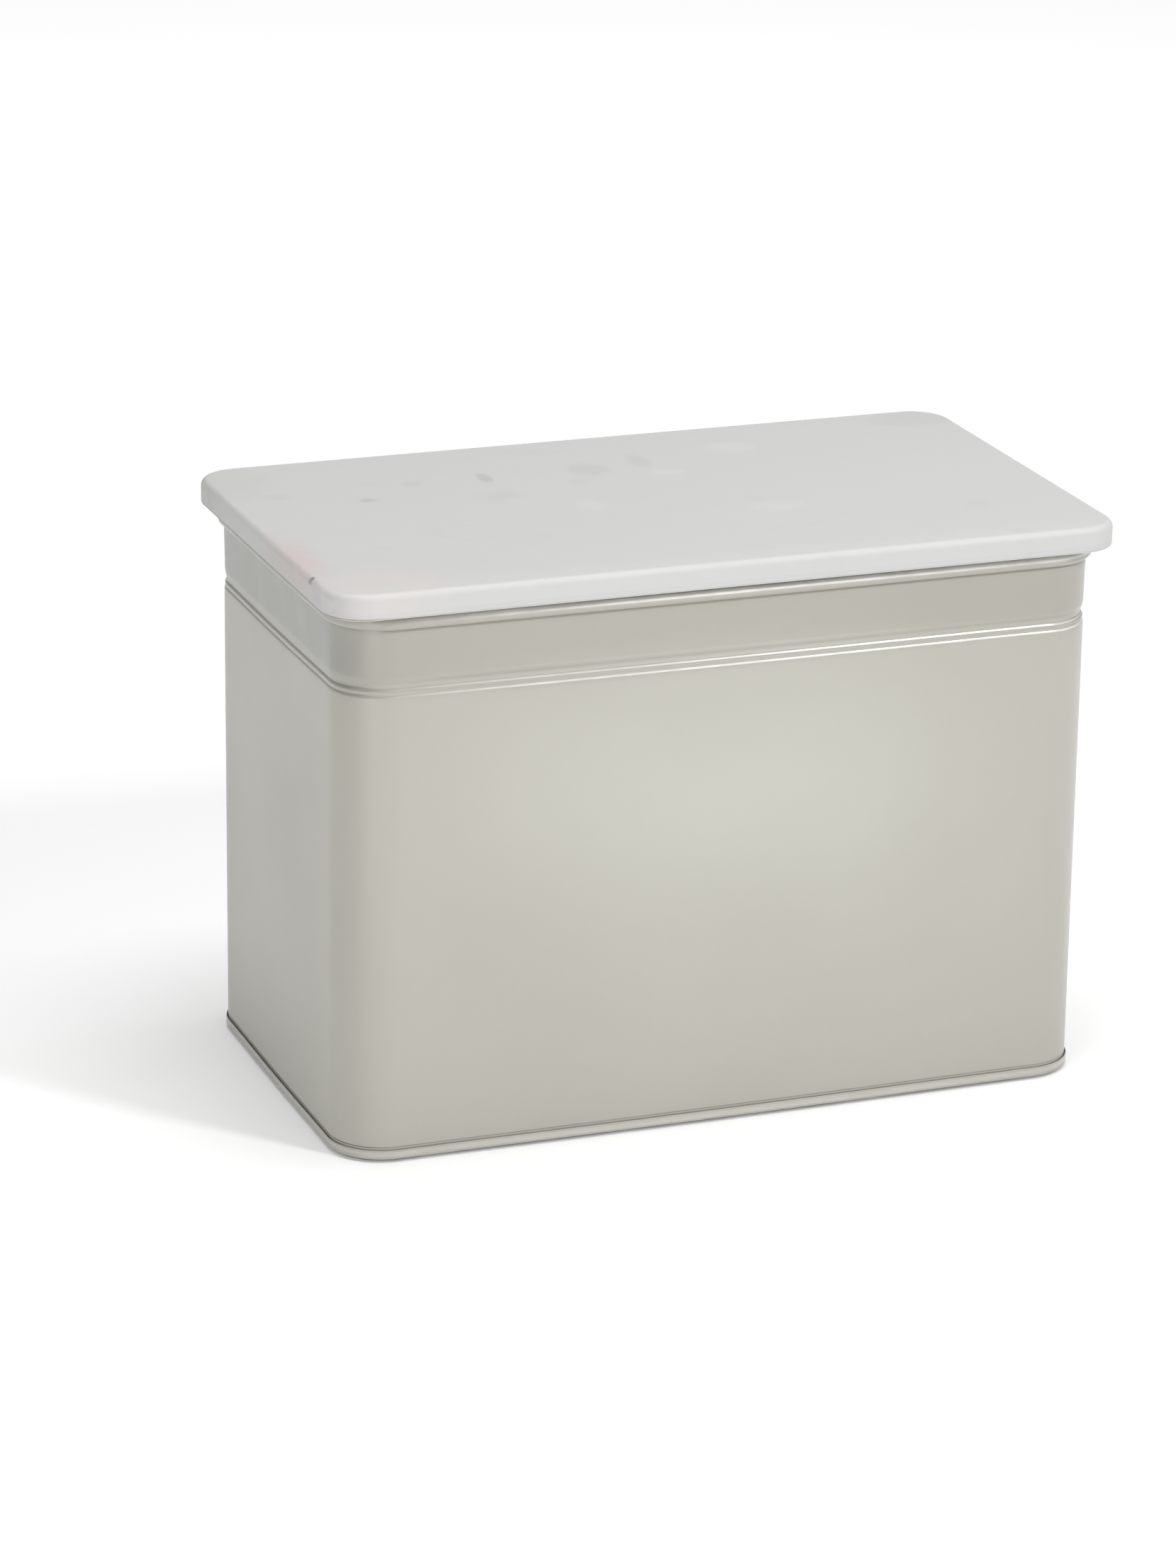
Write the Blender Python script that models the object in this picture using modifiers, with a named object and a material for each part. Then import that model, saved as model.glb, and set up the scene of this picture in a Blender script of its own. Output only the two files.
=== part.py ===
"""Bread bin: a painted sheet-steel body with a loose marble slab for a lid, in separate pieces.

Metres, +Z up. The origin is the middle of the footprint on the worktop, +X runs along the long
side and the front faces -Y. Body pieces are drawn from the worktop up, lid pieces from the
underside of the slab.
"""

import math

import bmesh
import bpy

OBJECT_NAME = "marble_lid_bread_bin"

GAP = 0.0003  # between two pieces that touch

# Body, measured on the outside of its wall
LENGTH = 0.340
DEPTH = 0.190
CORNER_RADIUS = 0.0233
BOW_LONG = 0.0008  # bulge at the middle of a long side
BOW_SHORT = 0.0004  # bulge at the middle of a short side
BODY_HEIGHT = 0.2386  # foot rim to the top of the curled edge
WALL_SHEET = 0.0008
WIRE_RADIUS = 0.0015

# Two rolled grooves: depth of the centre below the curled edge's top, half width, depth
UPPER_GROOVE = (0.0302, 0.0030, 0.0012)
LOWER_GROOVE = (0.0334, 0.0015, 0.0008)

# Lock seam up the middle of the back
SEAM_WIDTH = 0.006
SEAM_PROUD = 0.0006
SEAM_END_CLEARANCE = 0.003  # to the foot rim below and to the curled edge above

# Bottom panel, seamed round the foot of the wall
BASE_SHEET = 0.0005
SEAM_RIM_HEIGHT = 0.0047
PANEL_RECESS = 0.0040  # foot rim to the underside of the panel
PANEL_BEND = 0.0012
PLATEAU_INSET = 0.032  # from the wall to the raised middle of the panel
PLATEAU_SLOPE = 0.003
PLATEAU_RISE = 0.0012
LEAST_RADIUS = 0.004  # a corner never gets sharper than this, however far in it lies

# Rubber feet, stuck up inside the recess
FOOT_PROUD = 0.0008
FOOT_RADIUS = 0.0070
FOOT_TAPER = 0.0006
FOOT_ROUNDING = 0.0010
FOOT_INSET = 0.020  # wall to the middle of a foot

# Marble slab
SLAB_OVERHANG = 0.0068
SLAB_THICKNESS = 0.0109
SLAB_CORNER_RADIUS = 0.018
SLAB_EDGE_ROUNDING = 0.0012

# Silicone ring: a leg inside the mouth and a flange between steel and stone
FLANGE_THICKNESS = 0.0009
FLANGE_REACH = 0.0012  # past the outside of the wall
LEG_THICKNESS = 0.0016
LEG_HEIGHT = 0.0105
MOUTH_CLEARANCE = 0.0008
FIN_PROUD = 0.0005
FIN_HALF_HEIGHT = 0.0006
FIN_DEPTHS = (0.0045, 0.0080)  # below the slab

# Locating plate and the pads that bond it to the stone
PLATE_SHEET = 0.0010
PLATE_BEND = 0.0020
SKIRT_HEIGHT = 0.0120  # slab to the lower edge of the skirt
PAD_THICKNESS = 0.0008
PAD_RADIUS = 0.022
PAD_COLUMNS = ("left", "middle", "right")
PAD_ROWS = ("front", "back")

# Shape of the curl, the bows and the edges
WALL_TOP_DROP = 1.14  # the straight wall ends this many curl radii below the curl's centre
LONG_BOW_POINTS = (0.25, 0.5, 0.75)  # where along a long side the bowed outline has its points
SHORT_BOW_POINTS = (0.5,)
SHARP_EDGE = math.radians(35)  # edges that turn by more than this stay sharp

# Facets
WIRE_BEVEL_STEPS = 2
SLAB_BEVEL_STEPS = 1
CORNER_STEPS = 6
SLAB_CORNER_STEPS = 8
GROOVE_STEPS = 12
CURL_STEPS = 14
BEND_STEPS = 2
SEAM_RIM_STEPS = 4
FOOT_STEPS = 20
PAD_STEPS = 24

# Worked out from the sizes above
CURL_INNER = WIRE_RADIUS + GAP
CURL_MIDDLE = CURL_INNER + WALL_SHEET / 2
CURL_OUTER = CURL_INNER + WALL_SHEET
RIM_TOP = FOOT_PROUD + BODY_HEIGHT
CURL_CENTRE = RIM_TOP - CURL_OUTER
CURL_ENTRY = math.radians(235)  # where the wall runs into the curl
CURL_TAIL = -math.acos(GAP / CURL_INNER)  # where the curl's tail meets the wall again
WALL_TOP = CURL_CENTRE - WALL_TOP_DROP * CURL_MIDDLE
PANEL_MIDDLE = FOOT_PROUD + PANEL_RECESS + BASE_SHEET / 2
SEAM_RIM_RADIUS = WALL_SHEET / 2 + GAP + BASE_SHEET / 2
SEAM_RIM_CENTRE = FOOT_PROUD + BASE_SHEET / 2 + SEAM_RIM_RADIUS
LID_SEAT = RIM_TOP + GAP + FLANGE_THICKNESS + GAP
LEG_OUTSIDE = -CURL_OUTER - MOUTH_CLEARANCE
LEG_INSIDE = LEG_OUTSIDE - LEG_THICKNESS
SKIRT_MIDDLE = LEG_INSIDE - GAP - PLATE_SHEET / 2
PAD_TOP = -GAP
PLATE_MIDDLE = PAD_TOP - PAD_THICKNESS - GAP - PLATE_SHEET / 2

# Linear RGB
PUTTY_PAINT = (0.50, 0.47, 0.40)
MARBLE = (0.66, 0.66, 0.65)
BRIGHT_STEEL = (0.55, 0.55, 0.56)
GREY_SILICONE = (0.09, 0.09, 0.088)
FOOT_RUBBER = (0.30, 0.30, 0.29)
PAD_GREY = (0.20, 0.20, 0.20)


def clear_scene():
    for obj in list(bpy.data.objects):
        bpy.data.objects.remove(obj)


def new_collection(name):
    collection = bpy.data.collections.new(name)
    bpy.context.scene.collection.children.link(collection)
    return collection


def principled(name, base_color, roughness, metallic=0.0):
    material = bpy.data.materials.new(name)
    material.use_nodes = True
    shader = material.node_tree.nodes["Principled BSDF"]
    shader.inputs["Base Color"].default_value = (*base_color, 1.0)
    shader.inputs["Roughness"].default_value = roughness
    shader.inputs["Metallic"].default_value = metallic
    return material


def add_object(name, data, collection, material=None, parent=None):
    obj = bpy.data.objects.new(name, data)
    collection.objects.link(obj)
    obj.parent = parent
    if material:
        data.materials.append(material)
    return obj


def mesh_from(bm, name):
    """The bmesh as mesh data, with round faces shaded smooth and creases kept."""
    bmesh.ops.recalc_face_normals(bm, faces=bm.faces)
    mesh = bpy.data.meshes.new(name)
    bm.to_mesh(mesh)
    bm.free()
    mesh.shade_smooth()
    mesh.set_sharp_from_angle(angle=SHARP_EDGE)
    return mesh


def add_solidify(obj, thickness, offset=0.0):
    sheet = obj.modifiers.new("Sheet", "SOLIDIFY")
    sheet.thickness = thickness
    sheet.offset = offset
    sheet.use_even_offset = True


def arc(centre, radius, start, end, steps):
    """Points along an arc, both ends included."""
    angles = (start + (end - start) * step / steps for step in range(steps + 1))
    return [(centre[0] + radius * math.cos(a), centre[1] + radius * math.sin(a)) for a in angles]


def rounded_rectangle(half_x, half_y, radius, steps):
    """Corner points of a rounded rectangle, anticlockwise, as four lists of one corner each."""
    x, y = half_x - radius, half_y - radius
    centres = ((x, y), (-x, y), (-x, -y), (x, -y))
    quarter = math.pi / 2
    return [
        arc(centre, radius, turn * quarter, (turn + 1) * quarter, steps)
        for turn, centre in enumerate(centres)
    ]


def bowed_side(start, end, bow, shares):
    """Points between two corners on a shallow bulge to the right of the way they run."""
    run_x, run_y = end[0] - start[0], end[1] - start[1]
    length = math.hypot(run_x, run_y)
    points = []
    for share in shares:
        bulge = bow * 4 * share * (1 - share) / length
        points.append((start[0] + run_x * share + run_y * bulge, start[1] + run_y * share - run_x * bulge))
    return points


def bin_outline(offset):
    """The bin's outline seen from above, moved out from the wall's outside by the offset."""
    radius = max(CORNER_RADIUS + offset, LEAST_RADIUS)
    corners = rounded_rectangle(LENGTH / 2 + offset, DEPTH / 2 + offset, radius, CORNER_STEPS)
    sides = ((BOW_LONG, LONG_BOW_POINTS), (BOW_SHORT, SHORT_BOW_POINTS))
    points = []
    for turn, corner in enumerate(corners):
        following = corners[(turn + 1) % 4]
        points += corner + bowed_side(corner[-1], following[0], *sides[turn % 2])
    return points


def ring_mesh(name, stations, filled=False, closed=False):
    """A surface through the bin's outline at each (offset, height).

    Filled closes the first ring with a flat face, and closed joins the last ring to the first.
    """
    bm = bmesh.new()
    rings = [[bm.verts.new((x, y, z)) for x, y in bin_outline(offset)] for offset, z in stations]
    if filled:
        bm.faces.new(rings[0])
    pairs = list(zip(rings, rings[1:]))
    if closed:
        pairs.append((rings[-1], rings[0]))
    for lower, upper in pairs:
        for here in range(len(lower)):
            after = (here + 1) % len(lower)
            bm.faces.new((lower[here], lower[after], upper[after], upper[here]))
    return mesh_from(bm, name)


def groove_depth(z):
    """How far the rolled grooves press the wall in at a height."""
    depth = 0.0
    for below_top, half_width, deepest in (UPPER_GROOVE, LOWER_GROOVE):
        away = abs(z - (RIM_TOP - below_top)) / half_width
        if away < 1:
            depth += deepest * (1 + math.cos(math.pi * away)) / 2
    return depth


def wall_line(start, end, offset):
    """(offset, height) up the wall between two heights, following the grooves."""
    top = RIM_TOP - UPPER_GROOVE[0] + UPPER_GROOVE[1]
    bottom = RIM_TOP - LOWER_GROOVE[0] - LOWER_GROOVE[1]
    heights = [bottom + (top - bottom) * step / GROOVE_STEPS for step in range(GROOVE_STEPS + 1)]
    return [(offset - groove_depth(z), z) for z in (start, *heights, end)]


def make_body_shell(parts, helpers, paint, parent):
    """The wrapped wall: open foot, grooves, and a top edge curled round the wire."""
    curl = arc((0.0, CURL_CENTRE), CURL_MIDDLE, CURL_ENTRY, CURL_TAIL, CURL_STEPS)
    stations = wall_line(SEAM_RIM_CENTRE, WALL_TOP, -WALL_SHEET / 2) + curl
    shell = add_object("body_shell", ring_mesh("body_shell", stations), parts, paint, parent)
    add_solidify(shell, WALL_SHEET)
    union = shell.modifiers.new("Lock seam", "BOOLEAN")
    union.operation = "UNION"
    union.object = make_lock_seam(helpers)
    return shell


def make_lock_seam(helpers):
    """The folded seam's rib, sunk halfway into the sheet that it joins."""
    start = FOOT_PROUD + SEAM_RIM_HEIGHT + SEAM_END_CLEARANCE
    end = WALL_TOP - SEAM_END_CLEARANCE
    back = DEPTH / 2 + BOW_LONG
    bm = bmesh.new()
    line = wall_line(start, end, -WALL_SHEET / 2)
    points = [bm.verts.new((-SEAM_WIDTH / 2, back + offset, z)) for offset, z in line]
    edges = [bm.edges.new(pair) for pair in zip(points, points[1:])]
    made = bmesh.ops.extrude_edge_only(bm, edges=edges)["geom"]
    moved = [item for item in made if isinstance(item, bmesh.types.BMVert)]
    bmesh.ops.translate(bm, verts=moved, vec=(SEAM_WIDTH, 0, 0))
    for face in bm.faces:
        face.normal_update()
        if face.normal.y < 0:
            face.normal_flip()
    mesh = bpy.data.meshes.new("lock_seam")
    bm.to_mesh(mesh)
    bm.free()
    seam = add_object("lock_seam", mesh, helpers)
    add_solidify(seam, WALL_SHEET / 2 + SEAM_PROUD, offset=1.0)
    seam.hide_render = True
    seam.display_type = "WIRE"
    return seam


def make_rim_wire(parts, steel, parent):
    curve = bpy.data.curves.new("rim_wire", "CURVE")
    curve.dimensions = "3D"
    spline = curve.splines.new("POLY")
    outline = bin_outline(0.0)
    spline.points.add(len(outline) - 1)
    for point, (x, y) in zip(spline.points, outline):
        point.co = (x, y, 0.0, 1.0)
    spline.use_cyclic_u = True
    curve.bevel_depth = WIRE_RADIUS
    curve.bevel_resolution = WIRE_BEVEL_STEPS
    wire = add_object("rim_wire", curve, parts, steel, parent)
    wire.location.z = CURL_CENTRE
    return wire


def make_base_panel(parts, paint, parent):
    """The bottom: a raised middle, a flat border, a wall down inside the bin and a rim outside it."""
    border = -(WALL_SHEET + GAP + BASE_SHEET / 2)
    bend_centre = (border - PANEL_BEND, PANEL_MIDDLE - PANEL_BEND)
    rim_centre = (-WALL_SHEET / 2, SEAM_RIM_CENTRE)
    stations = [
        (-PLATEAU_INSET - PLATEAU_SLOPE, PANEL_MIDDLE + PLATEAU_RISE),
        (-PLATEAU_INSET, PANEL_MIDDLE),
        *arc(bend_centre, PANEL_BEND, math.pi / 2, 0.0, BEND_STEPS),
        *arc(rim_centre, SEAM_RIM_RADIUS, -math.pi, 0.0, SEAM_RIM_STEPS),
        (GAP + BASE_SHEET / 2, FOOT_PROUD + SEAM_RIM_HEIGHT),
    ]
    mesh = ring_mesh("base_panel", stations, filled=True)
    panel = add_object("base_panel", mesh, parts, paint, parent)
    add_solidify(panel, BASE_SHEET)
    return panel


def make_feet(parts, rubber, parent):
    """Four turned rubber buttons that lift the rim just clear of the worktop."""
    top = FOOT_PROUD + PANEL_RECESS - GAP
    waist = FOOT_RADIUS - FOOT_TAPER
    rounded = arc((waist - FOOT_ROUNDING, FOOT_ROUNDING), FOOT_ROUNDING, 0.0, -math.pi / 2, BEND_STEPS)
    profile = [(0.0, top), (FOOT_RADIUS, top), *rounded, (0.0, 0.0)]
    mesh = bpy.data.meshes.new("foot")
    edges = [(i, i + 1) for i in range(len(profile) - 1)]
    mesh.from_pydata([(x, 0.0, z) for x, z in profile], edges, [])
    mesh.materials.append(rubber)
    for along, x in (("left", -LENGTH / 2 + FOOT_INSET), ("right", LENGTH / 2 - FOOT_INSET)):
        for across, y in (("front", -DEPTH / 2 + FOOT_INSET), ("back", DEPTH / 2 - FOOT_INSET)):
            foot = add_object(f"foot_{across}_{along}", mesh, parts, parent=parent)
            foot.location = (x, y, 0.0)
            turned = foot.modifiers.new("Turned", "SCREW")
            turned.steps = turned.render_steps = FOOT_STEPS
            turned.use_merge_vertices = True
            turned.merge_threshold = 0.00001
            turned.use_smooth_shade = False


def make_marble_slab(parts, marble, parent):
    curve = bpy.data.curves.new("marble_slab", "CURVE")
    curve.dimensions = "2D"
    curve.fill_mode = "BOTH"
    spline = curve.splines.new("POLY")
    corners = rounded_rectangle(
        LENGTH / 2 + SLAB_OVERHANG - SLAB_EDGE_ROUNDING,
        DEPTH / 2 + SLAB_OVERHANG - SLAB_EDGE_ROUNDING,
        SLAB_CORNER_RADIUS - SLAB_EDGE_ROUNDING,
        SLAB_CORNER_STEPS,
    )
    outline = [point for corner in corners for point in corner]
    spline.points.add(len(outline) - 1)
    for point, (x, y) in zip(spline.points, outline):
        point.co = (x, y, 0.0, 1.0)
    spline.use_cyclic_u = True
    curve.bevel_depth = SLAB_EDGE_ROUNDING
    curve.bevel_resolution = SLAB_BEVEL_STEPS
    curve.extrude = SLAB_THICKNESS / 2 - SLAB_EDGE_ROUNDING
    slab = add_object("marble_slab", curve, parts, marble, parent)
    slab.location.z = SLAB_THICKNESS / 2
    return slab


def make_lid_plate(parts, paint, parent):
    """An upturned tray: flat against the pads, with a skirt down into the mouth."""
    bend_centre = (SKIRT_MIDDLE - PLATE_BEND, PLATE_MIDDLE - PLATE_BEND)
    bend = arc(bend_centre, PLATE_BEND, math.pi / 2, 0.0, 2 * BEND_STEPS)
    stations = [*bend, (SKIRT_MIDDLE, -SKIRT_HEIGHT)]
    mesh = ring_mesh("lid_plate", stations, filled=True)
    plate = add_object("lid_plate", mesh, parts, paint, parent)
    add_solidify(plate, PLATE_SHEET)
    return plate


def make_lid_gasket(parts, silicone, parent):
    """A ring with a flange that lies on the curled edge and a finned leg round the plate's skirt."""
    flange_top = -GAP
    flange_bottom = flange_top - FLANGE_THICKNESS
    section = [
        (LEG_INSIDE, -LEG_HEIGHT),
        (LEG_INSIDE, flange_top),
        (FLANGE_REACH, flange_top),
        (FLANGE_REACH, flange_bottom),
        (LEG_OUTSIDE, flange_bottom),
    ]
    for depth in FIN_DEPTHS:
        section.append((LEG_OUTSIDE, -depth + FIN_HALF_HEIGHT))
        section.append((LEG_OUTSIDE + FIN_PROUD, -depth))
        section.append((LEG_OUTSIDE, -depth - FIN_HALF_HEIGHT))
    section.append((LEG_OUTSIDE, -LEG_HEIGHT))
    mesh = ring_mesh("lid_gasket", section, closed=True)
    return add_object("lid_gasket", mesh, parts, silicone, parent)


def make_bond_pads(parts, adhesive, parent):
    """Round adhesive pads in two rows between the plate and the stone."""
    inside = SKIRT_MIDDLE - PLATE_SHEET
    pitch_x = (LENGTH + 2 * inside) / len(PAD_COLUMNS)
    pitch_y = (DEPTH + 2 * inside) / len(PAD_ROWS)
    bm = bmesh.new()
    bmesh.ops.create_cone(
        bm,
        cap_ends=True,
        segments=PAD_STEPS,
        radius1=PAD_RADIUS,
        radius2=PAD_RADIUS,
        depth=PAD_THICKNESS,
    )
    mesh = mesh_from(bm, "bond_pad")
    mesh.materials.append(adhesive)
    for column, along in enumerate(PAD_COLUMNS):
        for row, across in enumerate(PAD_ROWS):
            pad = add_object(f"bond_pad_{across}_{along}", mesh, parts, parent=parent)
            x = (column - (len(PAD_COLUMNS) - 1) / 2) * pitch_x
            y = (row - (len(PAD_ROWS) - 1) / 2) * pitch_y
            pad.location = (x, y, PAD_TOP - PAD_THICKNESS / 2)


def main():
    clear_scene()
    parts = new_collection(OBJECT_NAME)
    helpers = new_collection("joining_shapes")

    paint = principled("putty_paint", PUTTY_PAINT, 0.32)
    marble = principled("honed_marble", MARBLE, 0.28)
    steel = principled("bright_steel", BRIGHT_STEEL, 0.35, metallic=1.0)
    silicone = principled("grey_silicone", GREY_SILICONE, 0.6)
    rubber = principled("foot_rubber", FOOT_RUBBER, 0.7)
    adhesive = principled("pad_adhesive", PAD_GREY, 0.8)

    body = add_object("bin_body", None, parts)
    lid = add_object("lid_lift", None, parts)
    lid.location.z = LID_SEAT

    make_body_shell(parts, helpers, paint, body)
    make_rim_wire(parts, steel, body)
    make_base_panel(parts, paint, body)
    make_feet(parts, rubber, body)
    make_marble_slab(parts, marble, lid)
    make_lid_plate(parts, paint, lid)
    make_lid_gasket(parts, silicone, lid)
    make_bond_pads(parts, adhesive, lid)
    bpy.context.view_layer.update()


main()
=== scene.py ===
"""Bread bin with a marble slab for a lid: fine surfaces, finishes, studio light and camera.

Metres, +Z up. The front faces -Y and the long side runs along X. Every piece is drawn round the
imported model: the bin's outline, the wire, the slab and the foot rim give it its sizes.
"""

import math

import bmesh
import bpy
from mathutils import Matrix, Vector


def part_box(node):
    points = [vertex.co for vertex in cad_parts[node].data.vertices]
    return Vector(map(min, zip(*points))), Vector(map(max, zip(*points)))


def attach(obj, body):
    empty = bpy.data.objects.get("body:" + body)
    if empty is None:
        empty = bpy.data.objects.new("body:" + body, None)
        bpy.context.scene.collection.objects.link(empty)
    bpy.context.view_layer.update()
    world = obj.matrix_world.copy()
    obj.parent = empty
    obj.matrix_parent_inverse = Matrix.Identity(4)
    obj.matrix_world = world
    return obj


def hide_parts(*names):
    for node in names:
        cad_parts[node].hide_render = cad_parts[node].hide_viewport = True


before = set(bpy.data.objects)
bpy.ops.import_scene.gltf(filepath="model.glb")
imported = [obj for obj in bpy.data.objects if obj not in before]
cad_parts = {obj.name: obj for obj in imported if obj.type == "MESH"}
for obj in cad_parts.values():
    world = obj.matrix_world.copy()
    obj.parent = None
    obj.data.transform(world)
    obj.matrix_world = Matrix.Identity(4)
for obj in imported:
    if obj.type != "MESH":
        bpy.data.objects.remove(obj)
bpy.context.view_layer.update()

MM = 0.001
GAP = 0.3 * MM  # between two pieces that touch

# Body wall
WALL_SHEET = 0.8 * MM
CORNER_RADIUS = 23.3 * MM
BOW_LONG = 0.8 * MM
BOW_SHORT = 0.4 * MM
PILLOW_LONG = 0.9 * MM  # extra swell half way up a long side
PILLOW_SHORT = 0.4 * MM
# Rolled grooves: centre below the curled edge's top, reach up, reach down, depth
UPPER_GROOVE = (30.4 * MM, 5.0 * MM, 1.5 * MM, 0.60 * MM)
LOWER_GROOVE = (33.4 * MM, 1.4 * MM, 1.2 * MM, 0.40 * MM)
CORNER_BITE = 1.2  # share by which the grooves are deeper in the middle of each corner
BAND_LEAN = 0.35 * MM  # the band over the grooves stands out this much more at its top
LEAN_TOP = 4.0 * MM  # the lean ends this far below the curl's centre
LEAN_TAIL = 6.0 * MM  # and fades out over this much below the upper groove
GROOVE_MARGINS = (4.0 * MM, 6.0 * MM)  # finely cut wall below the lower groove and above the upper one
NECK_DROP = 2.0  # the wall turns into the curl from this many curl radii below the curl's centre
NECK_PULL = 0.9 * MM
SKIN_REACH = 4.0 * MM  # what lies this near the outside counts as the wall's skin
CURL_ENTRY = math.radians(235)
CURL_TAIL = math.radians(-80)
SEAM_WIDTH = 6.0 * MM
SEAM_PROUD = 0.55 * MM
SEAM_SHOULDER = 0.45 * MM
SEAM_END_CLEARANCE = 3.0 * MM
SEAM_TOP_DROP = 2.4  # curl radii from the curl's centre down to where that clearance starts

# Bottom panel and its seam round the foot
BASE_SHEET = 0.5 * MM
RIM_PROUD = GAP + BASE_SHEET
RIM_HEIGHT = 4.7 * MM
RIM_WAIST = 0.22 * MM
WAIST_HEIGHT = 0.42  # share of the way up the rim
WAIST_REACH = 1.3 * MM
PANEL_RECESS = 4.0 * MM
PANEL_BEND = 1.2 * MM
PLATEAU_INSET = 32.0 * MM
PLATEAU_SLOPE = 3.0 * MM
PLATEAU_RISE = 1.2 * MM
PLATEAU_LEDGE = 3.0 * MM  # level strip round the raised middle

# Rubber feet
FOOT_TAPER = 0.6 * MM
FOOT_ROUNDING = 1.0 * MM
FOOT_SHOULDER = 0.3 * MM
SOLE_RING = (1.2 * MM, 1.6 * MM, 0.35 * MM)  # in from the rounding, width, depth

# Lid
SLAB_CORNER_RADIUS = 18.0 * MM
SLAB_TOP_ARRIS = 3.0 * MM
SLAB_BOTTOM_ARRIS = 1.0 * MM
SLAB_BORDER = 6.0 * MM  # finely cut strip of the top and the underside
PLATE_SHEET = 1.0 * MM
PLATE_BEND = 2.0 * MM
PLATE_BEAD = (18.0 * MM, 3.5 * MM, 0.7 * MM)  # in from the skirt, half width, depth
FLANGE_THICKNESS = 0.9 * MM
FLANGE_REACH = 1.2 * MM
FLANGE_FILLET = 0.4 * MM
MOUTH_CLEARANCE = 0.8 * MM
LEG_THICKNESS = 1.6 * MM
LEG_TOE = 0.7 * MM
LEG_CHAMFER = 0.2 * MM
FIN_PROUD = 0.5 * MM
FIN_HALF_HEIGHT = 0.6 * MM
FIN_DEPTHS = (4.5 * MM, 8.0 * MM)
PAD_SHARES = (0.0, 0.35, 0.7, 0.92)  # rings on a pad's upper face, as shares of its radius

# Facets
CORNER_STEPS = 24
LID_CORNER_STEPS = 20
SLAB_CORNER_STEPS = 32
SIDE_CUTS = 20
LID_SIDE_CUTS = 16
SLAB_SIDE_CUTS = 220
WALL_STEPS = 26
GROOVE_STEPS = 72
NECK_STEPS = 8
CURL_STEPS = 40
WIRE_STEPS = 20
WIRE_SIDE_CUTS = 8
WIRE_CORNER_STEPS = 16
BEND_STEPS = 8
SLOPE_STEPS = 12
BEAD_STEPS = 16
PLATE_BEND_STEPS = 12
FIN_STEPS = 12
RIM_STEPS = 14
SHEET_END_STEPS = 6
SHARPEST_TURN = 0.5  # cosine of the half turn up to which a sheet keeps its thickness
TURNED_STEPS = 48
RING_STEPS = 8
SHOULDER_STEPS = 4
WELD = 0.002 * MM  # points nearer than this are one point
HAIR = 0.01 * MM  # margin for what lies right on the outline
SHARP_EDGE = math.radians(40)

# Wear on the slab: facing (the share of upright in the normal) where an arris starts and ends
ARRIS_START = (0.05, 0.3)
ARRIS_END = (0.8, 0.98)
NICK_ONSET = (0.66, 0.78)  # noise levels between which a nick reaches its full depth
WAVE_SHARE = 0.35  # scale of the waviness, as a share of the nicks'

# Camera
VIEW_AZIMUTH = math.radians(-20.605)
VIEW_ELEVATION = math.radians(18.852)
VIEW_ROLL = math.radians(0.781)
VIEW_DISTANCE = 2.40733
VIEW_CENTRE = (0.0, 0.0, 0.12)
VIEW_SHIFT_RIGHT = 0.0262
VIEW_SHIFT_UP = -0.00139
LENS = 126.11
SENSOR = 36.0


class Formula:
    """A number or field in a node tree, written as a formula: each step adds one Math node."""

    def __init__(self, tree, socket):
        self.tree = tree
        self.socket = socket

    def step(self, operation, *others):
        node = self.tree.nodes.new("ShaderNodeMath")
        node.operation = operation
        for place, value in enumerate((self, *others)):
            feed(self.tree, node.inputs[place], value)
        return Formula(self.tree, node.outputs[0])

    def __add__(self, other):
        return self.step("ADD", other)

    def __sub__(self, other):
        return self.step("SUBTRACT", other)

    def __mul__(self, other):
        return self.step("MULTIPLY", other)

    def __truediv__(self, other):
        return self.step("DIVIDE", other)

    def __pow__(self, other):
        return self.step("POWER", other)

    def __neg__(self):
        return self.step("MULTIPLY", -1.0)

    def __abs__(self):
        return self.step("ABSOLUTE")

    def above(self, other):
        return self.step("GREATER_THAN", other)

    def least(self, other):
        return self.step("MINIMUM", other)

    def most(self, other):
        return self.step("MAXIMUM", other)

    def sign(self):
        return self.step("SIGN")

    def between(self, start, end):
        """0 below start, 1 above end, and a smooth step in between."""
        node = self.tree.nodes.new("ShaderNodeMapRange")
        node.interpolation_type = "SMOOTHSTEP"
        for name, value in (("Value", self), ("From Min", start), ("From Max", end)):
            feed(self.tree, node.inputs[name], value)
        return Formula(self.tree, node.outputs[0])


def feed(tree, socket, value):
    """Joins a socket to another node's output, or sets it."""
    if isinstance(value, Formula):
        value = value.socket
    if isinstance(value, bpy.types.NodeSocket):
        tree.links.new(value, socket)
    else:
        socket.default_value = value


def add_node(tree, kind, inputs=(), **settings):
    """A node with its settings made and its inputs fed."""
    node = tree.nodes.new(kind)
    for name, value in settings.items():
        setattr(node, name, value)
    for name, value in dict(inputs).items():
        feed(tree, node.inputs[name], value)
    return node


def noise(tree, vector, scale, **more):
    """A noise field. More inputs are named as on the node."""
    node = add_node(tree, "ShaderNodeTexNoise", {"Vector": vector, "Scale": scale, **more})
    return Formula(tree, node.outputs[0])


def spread_out(tree):
    """Lays the nodes out in rows in the order they were added, so that the tree can be read."""
    for count, node in enumerate(tree.nodes):
        node.location = (count % 12 * 190, -(count // 12) * 260)


def new_tree(name, kind, inputs, outputs):
    """A node group with named inputs and outputs: (name, socket type, default)."""
    tree = bpy.data.node_groups.new(name, kind)
    for label, socket_type, value in inputs:
        socket = tree.interface.new_socket(label, in_out="INPUT", socket_type=socket_type)
        if value is not None:
            socket.default_value = value
    for label, socket_type in outputs:
        tree.interface.new_socket(label, in_out="OUTPUT", socket_type=socket_type)
    given = tree.nodes.new("NodeGroupInput")
    result = tree.nodes.new("NodeGroupOutput")
    return tree, given.outputs, result.inputs


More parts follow.
